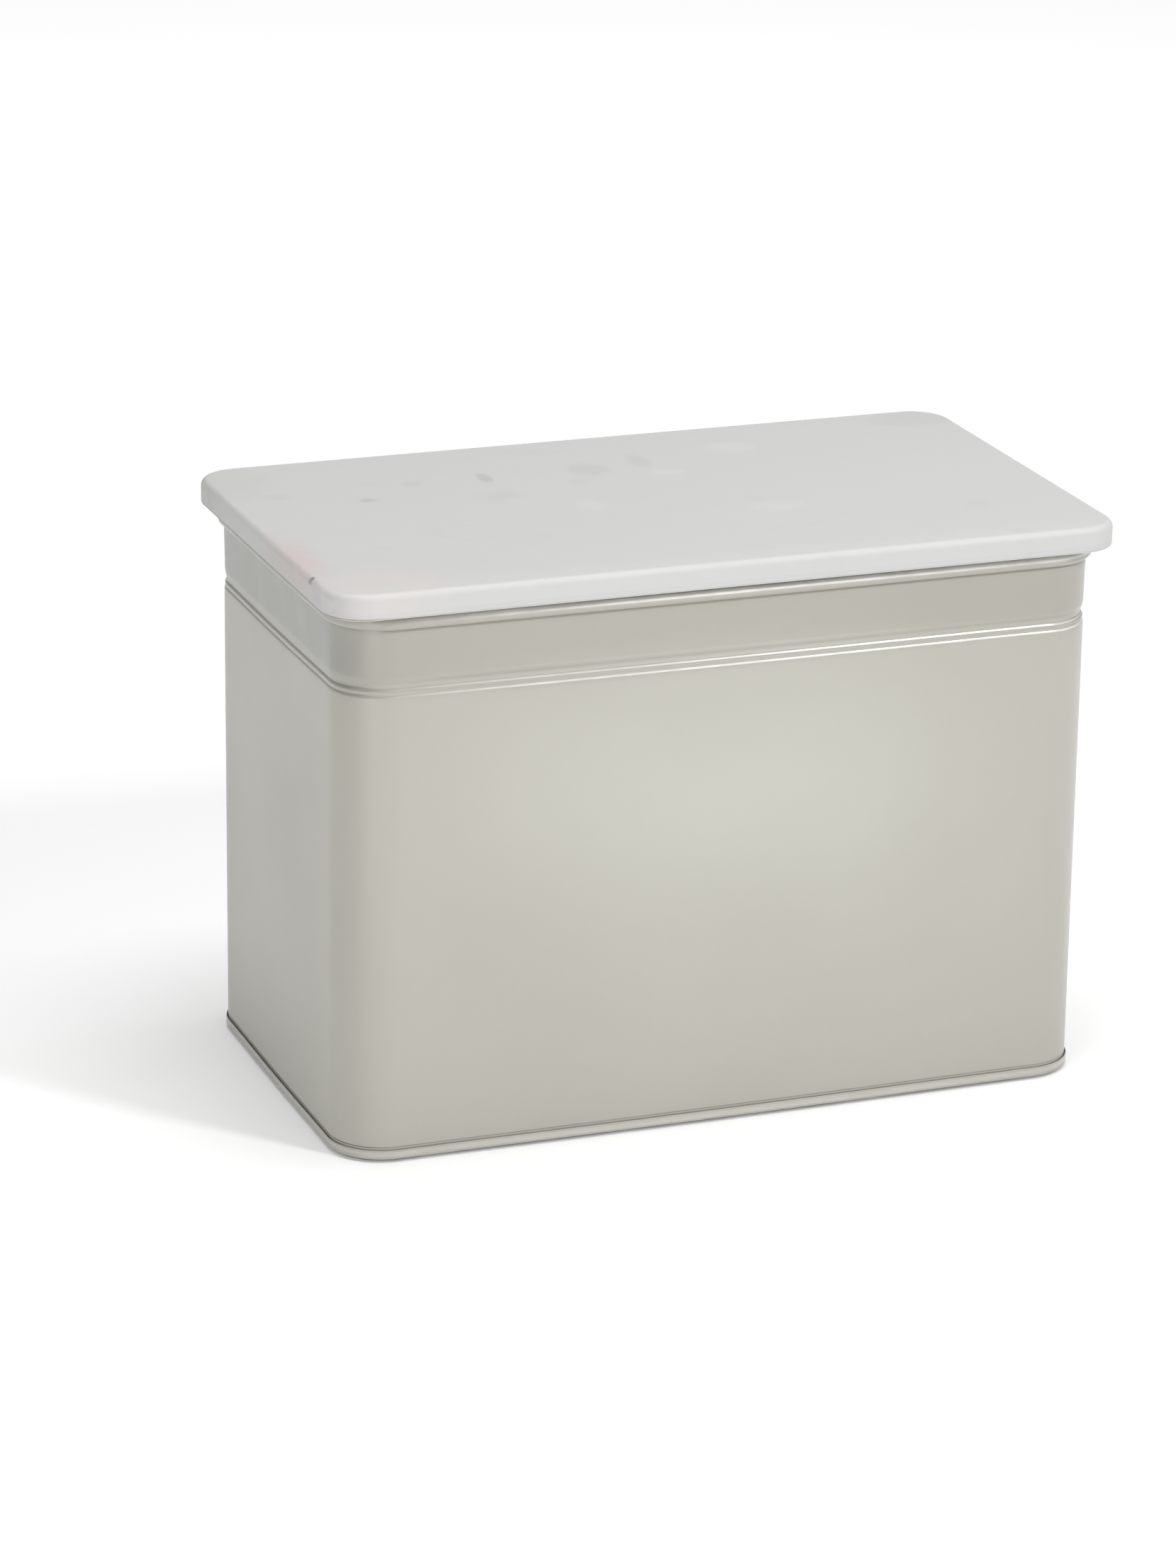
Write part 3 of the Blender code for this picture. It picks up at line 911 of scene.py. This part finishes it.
def fine_texture():
    """The height of a fine surface texture: broad ripple with a finer grain over it."""
    tree, given, result = new_tree(
        "fine_texture",
        "ShaderNodeTree",
        (
            ("Vector", "NodeSocketVector", None),
            ("Ripple Scale", "NodeSocketFloat", 300.0),
            ("Grain Scale", "NodeSocketFloat", 2500.0),
            ("Grain Share", "NodeSocketFloat", 0.2),
        ),
        (("Height", "NodeSocketFloat"),),
    )
    ripple = noise(tree, given["Vector"], given["Ripple Scale"], Detail=2.0)
    grain = noise(tree, given["Vector"], given["Grain Scale"], Detail=2.0)
    height = ripple + grain * Formula(tree, given["Grain Share"])
    tree.links.new(height.socket, result["Height"])
    spread_out(tree)
    return tree


def settled_dust():
    """Dust and handling marks on level ledges, and a band round a seam that mixes them with painted
    shade.
    """
    tree, given, result = new_tree(
        "settled_dust",
        "ShaderNodeTree",
        (
            ("Vector", "NodeSocketVector", None),
            ("Seam Height", "NodeSocketFloat", 0.0),
            ("Seam Reach", "NodeSocketFloat", 0.002),
            ("Ledge Share", "NodeSocketFloat", 0.5),
            ("Patchiness", "NodeSocketFloat", 30.0),
        ),
        (("Mask", "NodeSocketFloat"),),
    )
    seam, reach, ledge_share = formulas(tree, given, "Seam Height", "Seam Reach", "Ledge Share")
    place = add_node(tree, "ShaderNodeSeparateXYZ", {0: given["Vector"]}).outputs
    normal = add_node(tree, "ShaderNodeNewGeometry").outputs["Normal"]
    facing = add_node(tree, "ShaderNodeSeparateXYZ", {0: normal}).outputs
    near_seam = -(abs(Formula(tree, place["Z"]) - seam).between(0.0, reach)) + 1.0
    ledge = Formula(tree, facing["Z"]).between(0.35, 0.9) * ledge_share
    patchy = noise(tree, given["Vector"], given["Patchiness"], Detail=5.0).between(0.3, 0.7)
    mask = near_seam.most(ledge) * (patchy * 0.6 + 0.4)
    tree.links.new(mask.socket, result["Mask"])
    spread_out(tree)
    return tree


def level_line():
    """A mask for a soft level line round the piece, of one strength on its left and another elsewhere."""
    tree, given, result = new_tree(
        "level_line",
        "ShaderNodeTree",
        (
            ("Vector", "NodeSocketVector", None),
            ("Height", "NodeSocketFloat", 0.0),
            ("Half Width", "NodeSocketFloat", 0.0005),
            ("Left Strength", "NodeSocketFloat", 0.5),
            ("Other Strength", "NodeSocketFloat", 0.5),
            ("Change Reach", "NodeSocketFloat", 0.02),
        ),
        (("Mask", "NodeSocketFloat"),),
    )
    height, half, left, other, change = formulas(
        tree, given, "Height", "Half Width", "Left Strength", "Other Strength", "Change Reach"
    )
    place = add_node(tree, "ShaderNodeSeparateXYZ", {0: given["Vector"]}).outputs
    line = -(abs(Formula(tree, place["Z"]) - height).between(half * 0.35, half)) + 1.0
    past_left = ((Formula(tree, place["X"]) + LENGTH / 2) / change).between(0.0, 1.0)
    uneven = noise(tree, given["Vector"], 70.0).between(0.2, 0.6) * 0.4 + 0.6
    mask = line * (left + (other - left) * past_left) * uneven
    tree.links.new(mask.socket, result["Mask"])
    spread_out(tree)
    return tree


def soft_mark():
    """A mask for one soft-edged mark, longer or wider, at a place on a level surface."""
    tree, given, result = new_tree(
        "soft_mark",
        "ShaderNodeTree",
        (
            ("Vector", "NodeSocketVector", None),
            ("Centre X", "NodeSocketFloat", 0.0),
            ("Centre Y", "NodeSocketFloat", 0.0),
            ("Reach X", "NodeSocketFloat", 0.005),
            ("Reach Y", "NodeSocketFloat", 0.005),
            ("Lowest", "NodeSocketFloat", 0.0),
            ("Strength", "NodeSocketFloat", 0.5),
        ),
        (("Mask", "NodeSocketFloat"),),
    )
    x, y, reach_x, reach_y, lowest, strength = formulas(
        tree, given, "Centre X", "Centre Y", "Reach X", "Reach Y", "Lowest", "Strength"
    )
    place = add_node(tree, "ShaderNodeSeparateXYZ", {0: given["Vector"]}).outputs
    along = (Formula(tree, place["X"]) - x) / reach_x
    across = (Formula(tree, place["Y"]) - y) / reach_y
    fray = (noise(tree, given["Vector"], 160.0) - 0.5) * 0.9
    away = (along * along + across * across) ** 0.5 + fray
    high_enough = Formula(tree, place["Z"]).above(lowest)
    mask = (-away.between(0.45, 1.15) + 1.0) * high_enough * strength
    tree.links.new(mask.socket, result["Mask"])
    spread_out(tree)
    return tree


def new_material(name, **constants):
    """A Principled material: constants go straight on the shader's own sockets."""
    material = bpy.data.materials.new(name)
    material.use_nodes = True
    tree = material.node_tree
    shader = tree.nodes["Principled BSDF"]
    for label, value in constants.items():
        shader.inputs[label.replace("_", " ")].default_value = value
    place = add_node(tree, "ShaderNodeTexCoord").outputs["Object"]
    return material, tree, shader, place


def add_group(tree, group, inputs):
    node = tree.nodes.new("ShaderNodeGroup")
    node.node_tree = group
    for name, value in inputs.items():
        feed(tree, node.inputs[name], value)
    return node.outputs


def mix_colors(tree, share, first, second):
    """Between two colours; the result can feed another node."""
    node = add_node(tree, "ShaderNodeMix", {0: share, 6: first, 7: second}, data_type="RGBA")
    return node.outputs[2]


def add_tone(tree, place, color, drift, scale, amount):
    inputs = {"Color": (*color, 1.0), "Drift Color": (*drift, 1.0), "Scale": scale, "Amount": amount}
    return add_group(tree, TONE, {"Vector": place, **inputs})


def add_texture(tree, shader, place, ripple, grain, grain_share, strength, distance):
    """A fine bump: ripples and grain by their scales, the grain by its share of the height."""
    inputs = {"Ripple Scale": ripple, "Grain Scale": grain, "Grain Share": grain_share}
    height = add_group(tree, TEXTURE, {"Vector": place, **inputs})["Height"]
    inputs = {"Height": height, "Strength": strength, "Distance": distance}
    feed(tree, shader.inputs["Normal"], add_node(tree, "ShaderNodeBump", inputs).outputs[0])


def add_lines(tree, place, color, lines):
    """Level lines of painted shade and painted highlight laid over a colour."""
    for height, half_width, left, other, change, line_color in lines:
        mask = add_group(
            tree,
            LINE,
            {
                "Vector": place,
                "Height": height,
                "Half Width": half_width,
                "Left Strength": left,
                "Other Strength": other,
                "Change Reach": change * MM,
            },
        )["Mask"]
        color = mix_colors(tree, mask, color, (*line_color, 1.0))
    return color


# Linear RGB; the colours that a mix takes as they are have the alpha with them
PUTTY = (0.418, 0.405, 0.355)
PUTTY_DRIFT = (0.398, 0.384, 0.334)
# Dust with painted shade, then three colours of painted shade, then painted light and a painted highlight
DUST_AND_SHADE_PUTTY = (0.30, 0.285, 0.25, 1.0)
BAND_SHADE_PUTTY = (0.315, 0.300, 0.256, 1.0)
SHADED_PUTTY = (0.29, 0.29, 0.27)
PAINTED_SHADE = (0.035, 0.035, 0.03)
PAINTED_LIGHT = (0.64, 0.62, 0.58)
PAINTED_GLINT = (0.88, 0.87, 0.84)
PALE_MARBLE = (0.548, 0.548, 0.542)
MARBLE_DRIFT = (0.522, 0.523, 0.518)
VEIN_GREY = (0.46, 0.465, 0.47, 1.0)
FLECK_GREY = (0.43, 0.435, 0.44, 1.0)
# Painted shade colour for the slab's lower edge
MARBLE_EDGE_SHADE = (0.02, 0.019, 0.018)

# Level lines of painted shade and painted highlight: height, half width, strength on the left and
# elsewhere, the reach in millimetres over which the one turns into the other, colour
PAINT_LINES = (
    # Painted highlight on the foot rim's upper roll, a painted shade line where the rim meets the wall,
    # and a painted contact shadow along the rim's foot
    (FOOT_RIM + 2.9 * MM, 1.5 * MM, 0.35, 0.45, 23, PAINTED_LIGHT),
    (rim_high.z + 0.15 * MM, 0.36 * MM, 1.0, 0.45, 23, PAINTED_SHADE),
    (FOOT_RIM + 0.2 * MM, 0.95 * MM, 0.95, 0.85, 23, PAINTED_SHADE),
    # Painted light on the curled bead under the slab, a painted highlight along its top, and a painted
    # shade line in the crease below it
    (CURL_CENTRE + 1.6 * MM, 1.9 * MM, 0.1, 0.85, 60, PAINTED_LIGHT),
    (CURL_CENTRE + 0.9 * MM, 0.7 * MM, 0.0, 0.8, 160, PAINTED_GLINT),
    (CURL_CENTRE - 2.5 * MM, 0.45 * MM, 0.15, 0.5, 23, PAINTED_SHADE),
    # Painted shade on the band over the grooves, on the left side only
    (GROOVE_HEIGHT + 14.5 * MM, 20.0 * MM, 0.65, 0.0, 23, SHADED_PUTTY),
    # Painted shade lines and painted glints along the two grooves, strongest across the front
    (GROOVE_HEIGHT + 2.4 * MM, 1.0 * MM, 0.03, 0.12, 60, PAINTED_SHADE),
    (GROOVE_HEIGHT - 0.7 * MM, 0.5 * MM, 0.15, 0.6, 110, PAINTED_GLINT),
    (GROOVE_HEIGHT - 2.1 * MM, 0.45 * MM, 0.03, 0.15, 60, PAINTED_SHADE),
    (GROOVE_HEIGHT - 3.6 * MM, 0.55 * MM, 0.15, 0.85, 110, PAINTED_GLINT),
)
# A painted shade line along the slab's lower edge, strongest on the left
SLAB_LINES = ((LID_SEAT + 0.75 * MM, 0.5 * MM, 0.6, 0.12, 23, MARBLE_EDGE_SHADE),)


def make_putty_paint():
    """Satin putty-grey powder coat, with painted shade and painted highlights laid over it."""
    material, tree, shader, place = new_material(
        "putty_powder_coat",
        Specular_IOR_Level=0.5,
        Coat_Weight=0.5,
        Coat_Roughness=0.2,
    )
    tone = add_tone(tree, place, PUTTY, PUTTY_DRIFT, 9.0, 0.5)
    # Dusty ledges, and a band round the foot seam that is partly dusty and partly painted shade
    seam_dust_and_shade = add_group(
        tree,
        DUST_AND_SHADE,
        {
            "Vector": place,
            "Seam Height": rim_high.z - 1.0 * MM,
            "Seam Reach": 1.2 * MM,
            "Ledge Share": 0.1,
            "Patchiness": 60.0,
        },
    )["Mask"]
    dusted_and_shaded = mix_colors(tree, Formula(tree, seam_dust_and_shade) * 0.25, tone["Color"], DUST_AND_SHADE_PUTTY)
    height_up = Formula(tree, add_node(tree, "ShaderNodeSeparateXYZ", {0: place}).outputs["Z"])
    # Painted shade: the wall is painted darker from just below the grooves upward
    band_shade = height_up.between(GROOVE_HEIGHT - 2 * MM, GROOVE_HEIGHT + 4 * MM) * 0.5
    banded = mix_colors(tree, band_shade, dusted_and_shaded, BAND_SHADE_PUTTY)
    lined = add_lines(tree, place, banded, PAINT_LINES)
    feed(tree, shader.inputs["Base Color"], lined)
    feed(tree, shader.inputs["Roughness"], Formula(tree, tone["Mask"]) * 0.05 + 0.40)
    add_texture(tree, shader, place, 420.0, 2600.0, 0.12, 0.25, 0.06 * MM)
    spread_out(tree)
    return material


# Marks on the marble, two of them painted light, millimetres: x, y, reach along x and y, lowest height;
# strength, colour
MARBLE_MARKS = (
    (-59, 51, 4.0, 8.0, 0, 0.5, (0.37, 0.38, 0.38)),
    (-11, 51, 11.0, 11.0, 0, 0.4, (0.46, 0.46, 0.46)),
    (15, 56, 6.0, 12.0, 0, 0.4, (0.46, 0.46, 0.46)),
    (-118, 33, 5.0, 4.0, 0, 0.5, (0.40, 0.41, 0.42)),
    (-92, 52, 5.0, 6.0, 0, 0.35, (0.47, 0.47, 0.48)),
    (-62, 22, 14.0, 8.0, 0, 0.3, (0.48, 0.48, 0.49)),
    (62, 67, 13.0, 10.0, 0, 0.35, (0.60, 0.60, 0.59)),
    (21, 37, 10.0, 6.0, 0, 0.4, (0.60, 0.60, 0.60)),
    (48, -27, 16.0, 9.0, 0, 0.35, (0.60, 0.60, 0.56)),
    (-30, -3, 7.0, 9.0, 0, 0.35, (0.60, 0.60, 0.60)),
    (160, 87, 26.0, 16.0, 0, 0.4, (0.49, 0.49, 0.48)),
    (-168, 80, 22.0, 30.0, 0, 0.4, (0.50, 0.50, 0.46)),
    (-181, -40, 20.0, 40.0, 0, 0.7, (0.56, 0.475, 0.455)),
    (-150, -88, 30.0, 22.0, 0, 0.6, (0.60, 0.545, 0.53)),
    # Painted light along the slab's front arris and the front strip of its top
    (0, -106, 400.0, 22.0, 244, 0.4, (0.59, 0.585, 0.57)),
    (-176, -69, 1.8, 2.2, 249, 0.85, (0.16, 0.16, 0.16)),
    # Painted light on the slab's left side
    (-178, 0, 4.0, 130.0, 236, 0.35, (0.68, 0.67, 0.65)),
)


def make_marble():
    """Honed pale grey marble: clouds, faint veins, soft grey flecks and fine crystals, with painted light
    on the front strip and the left side and a painted shade line along the lower edge.
    """
    material, tree, shader, place = new_material("honed_marble", Specular_IOR_Level=0.5)
    tone = add_tone(tree, place, PALE_MARBLE, MARBLE_DRIFT, 11.0, 0.55)
    slanted = add_node(
        tree,
        "ShaderNodeMapping",
        {"Vector": place, "Rotation": (0.3, 0.5, 0.6), "Scale": (1.0, 2.6, 1.6)},
    ).outputs[0]
    folds = noise(tree, slanted, 7.0, Detail=6.0, Roughness=0.6, Distortion=0.7)
    ridge = -(abs(folds - 0.5).between(0.0, 0.035)) + 1.0
    veins = ridge * noise(tree, place, 13.0, Detail=3.0).between(0.45, 0.7)
    veined = mix_colors(tree, veins * 0.12, tone["Color"], VEIN_GREY)
    cells = add_node(
        tree,
        "ShaderNodeTexVoronoi",
        {"Vector": place, "Scale": 46.0, "Randomness": 1.0},
        feature="F1",
    )
    fleck = -(Formula(tree, cells.outputs["Distance"]).between(0.1, 0.38)) + 1.0
    lot = add_node(tree, "ShaderNodeSeparateColor", {0: cells.outputs["Color"]})
    is_fleck = Formula(tree, lot.outputs[0]).above(0.93)
    colored = mix_colors(tree, fleck * is_fleck * 0.2, veined, FLECK_GREY)
    for x, y, reach_x, reach_y, lowest, strength, mark_color in MARBLE_MARKS:
        mark = add_group(
            tree,
            MARK,
            {
                "Vector": place,
                "Centre X": x * MM,
                "Centre Y": y * MM,
                "Reach X": reach_x * MM,
                "Reach Y": reach_y * MM,
                "Lowest": lowest * MM,
                "Strength": strength,
            },
        )["Mask"]
        colored = mix_colors(tree, mark, colored, (*mark_color, 1.0))
    colored = add_lines(tree, place, colored, SLAB_LINES)
    feed(tree, shader.inputs["Base Color"], colored)
    feed(tree, shader.inputs["Roughness"], Formula(tree, tone["Mask"]) * 0.08 + 0.55)
    add_texture(tree, shader, place, 160.0, 1800.0, 0.3, 0.15, 0.05 * MM)
    spread_out(tree)
    return material


def make_plain_finish(name, color, drift, roughness, ripple, grain, strength, **constants):
    """A finish with a drifting tone, patchy roughness and a fine texture."""
    material, tree, shader, place = new_material(name, **constants)
    tone = add_tone(tree, place, color, drift, 40.0, 0.7)
    feed(tree, shader.inputs["Base Color"], tone["Color"])
    feed(tree, shader.inputs["Roughness"], Formula(tree, tone["Mask"]) * 0.12 + roughness)
    add_texture(tree, shader, place, ripple, grain, 0.4, strength, 0.05 * MM)
    spread_out(tree)
    return material


# Studio


def aim(obj, location, target):
    """Places an object and turns its -Z towards a point."""
    obj.location = location
    back = (Vector(location) - Vector(target)).normalized()
    obj.rotation_euler = back.to_track_quat("Z", "Y").to_euler()


def add_softbox(name, azimuth, elevation, distance, width, height, watts, color):
    """A rectangular light aimed at the bin. Azimuth is measured from the front, to the right."""
    light = bpy.data.lights.new(name, "AREA")
    light.shape = "RECTANGLE"
    light.size = width
    light.size_y = height
    light.energy = watts
    light.color = color
    lamp = bpy.data.objects.new(name, light)
    bpy.context.scene.collection.objects.link(lamp)
    a, e = math.radians(azimuth), math.radians(elevation)
    way = Vector((math.sin(a) * math.cos(e), -math.cos(a) * math.cos(e), math.sin(e)))
    target = Vector(VIEW_CENTRE)
    aim(lamp, target + way * distance, target)


# Name, azimuth from the front to the right, elevation, distance, width, height, watts, colour
SOFTBOXES = (
    ("overhead_softbox", 0, 89, 1.8, 1.2, 1.2, 26.2, (1.0, 1.0, 1.0)),
    ("key_softbox", 34, 39, 1.8, 0.2, 0.2, 11.9, (1.0, 1.0, 1.0)),
    ("right_softbox", 90, 45, 1.8, 0.8, 0.8, 4.6, (0.97, 0.97, 1.0)),
    ("low_left_softbox", -40, 10, 0.9, 0.4, 0.4, 1.7, (1.0, 1.0, 0.98)),
    ("high_left_softbox", -75, 30, 1.8, 0.8, 0.8, 0.85, (0.97, 1.0, 1.0)),
    ("far_left_softbox", -110, 10, 1.8, 0.8, 0.8, 0.85, (0.84, 0.97, 1.0)),
    ("rear_softbox", 190, 55, 1.8, 0.8, 0.8, 2.4, (1.0, 1.0, 1.0)),
    ("low_front_glow", 16, -10, 0.45, 0.22, 0.076, 0.17, (0.92, 0.98, 1.0)),
)
FLOOR_RADIUS = 60.0
FLOOR_GLOW_REACH = (0.5, 2.0)  # from the middle, where the near glow ends and the far one starts
FLOOR_GLOW_NEAR = 0.228
FLOOR_GLOW_FAR = 0.81
HORIZON_REACH = 0.2  # upward share of the way at which the horizon's glow has died down
HORIZON_GLOW = 0.38
DOME_GLOW = 0.03


def remapped(tree, value, start, end):
    """The value, its range at the start stretched evenly to the range at the end."""
    inputs = {"From Min": start[0], "From Max": start[1], "To Min": end[0], "To Max": end[1]}
    return add_node(tree, "ShaderNodeMapRange", {"Value": value, **inputs}).outputs[0]


def make_surroundings():
    """Soft white all round: brighter at the horizon, dim overhead."""
    world = bpy.data.worlds.new("white_surroundings")
    world.use_nodes = True
    tree = world.node_tree
    way = add_node(tree, "ShaderNodeTexCoord").outputs["Generated"]
    height = add_node(tree, "ShaderNodeSeparateXYZ", {0: way}).outputs["Z"]
    background = tree.nodes["Background"]
    background.inputs["Color"].default_value = (1.0, 1.0, 1.0, 1.0)
    glow = remapped(tree, height, (0.0, HORIZON_REACH), (HORIZON_GLOW, DOME_GLOW))
    tree.links.new(glow, background.inputs["Strength"])
    bpy.context.scene.world = world


def make_floor():
    """A white floor that blends into the white behind it."""
    bpy.ops.mesh.primitive_circle_add(vertices=96, radius=FLOOR_RADIUS, fill_type="NGON")
    floor = bpy.context.object
    floor.name = "studio_floor"
    material, tree, shader, place = new_material("white_floor", Roughness=0.9, Specular_IOR_Level=0.1)
    shader.inputs["Base Color"].default_value = (0.85, 0.85, 0.85, 1.0)
    shader.inputs["Emission Color"].default_value = (1.0, 1.0, 1.0, 1.0)
    away = add_node(tree, "ShaderNodeVectorMath", {0: place}, operation="LENGTH").outputs["Value"]
    glow = remapped(tree, away, FLOOR_GLOW_REACH, (FLOOR_GLOW_NEAR, FLOOR_GLOW_FAR))
    tree.links.new(glow, shader.inputs["Emission Strength"])
    floor.data.materials.append(material)


def make_studio():
    make_surroundings()
    make_floor()
    for softbox in SOFTBOXES:
        add_softbox(*softbox)
    bpy.context.scene.view_settings.view_transform = "Standard"


def add_camera():
    """The camera: a long lens at the front left, looking down a little."""
    back = Vector(
        (
            math.sin(VIEW_AZIMUTH) * math.cos(VIEW_ELEVATION),
            -math.cos(VIEW_AZIMUTH) * math.cos(VIEW_ELEVATION),
            math.sin(VIEW_ELEVATION),
        )
    )
    level = Vector((0.0, 0.0, 1.0)).cross(back).normalized()
    upright = back.cross(level)
    right = level * math.cos(VIEW_ROLL) + upright * math.sin(VIEW_ROLL)
    up = upright * math.cos(VIEW_ROLL) - level * math.sin(VIEW_ROLL)
    data = bpy.data.cameras.new("studio_camera")
    data.lens = LENS
    data.sensor_width = SENSOR
    camera = bpy.data.objects.new("studio_camera", data)
    bpy.context.scene.collection.objects.link(camera)
    place = Vector(VIEW_CENTRE) + back * VIEW_DISTANCE - right * VIEW_SHIFT_RIGHT - up * VIEW_SHIFT_UP
    camera.matrix_world = Matrix.Translation(place) @ Matrix((right, up, back)).transposed().to_4x4()
    bpy.context.scene.camera = camera


SWEEP = section_sweep()
ROWS = rows_of_one_piece()
ARRIS = worn_arris()
TONE = drifting_tone()
TEXTURE = fine_texture()
DUST_AND_SHADE = settled_dust()
MARK = soft_mark()
LINE = level_line()
FEET = [f"foot_{row}_{side}" for row in ("front", "back") for side in ("left", "right")]
PADS = [f"bond_pad_{row}_{place}" for row in ("front", "back") for place in ("left", "middle", "right")]

add_camera()
make_studio()

putty = make_putty_paint()
stone = make_marble()
steel = make_plain_finish(
    "bright_drawn_wire", (0.55, 0.55, 0.56), (0.42, 0.42, 0.43), 0.28, 900.0, 4000.0, 0.2, Metallic=1.0
)
silicone = make_plain_finish(
    "grey_silicone", (0.085, 0.085, 0.083), (0.12, 0.118, 0.112), 0.5, 500.0, 3000.0, 0.3
)
rubber = make_plain_finish(
    "grey_foot_rubber", (0.30, 0.30, 0.29), (0.24, 0.24, 0.235), 0.62, 700.0, 3500.0, 0.4
)
adhesive = make_plain_finish(
    "cured_adhesive", (0.20, 0.20, 0.20), (0.15, 0.15, 0.15), 0.7, 300.0, 1500.0, 0.6
)

make_body_wall(putty)
make_rim_wire(steel)
make_bottom(putty)
make_feet(rubber)
make_slab(stone)
make_plate(putty)
make_gasket(silicone)
make_pads(adhesive)
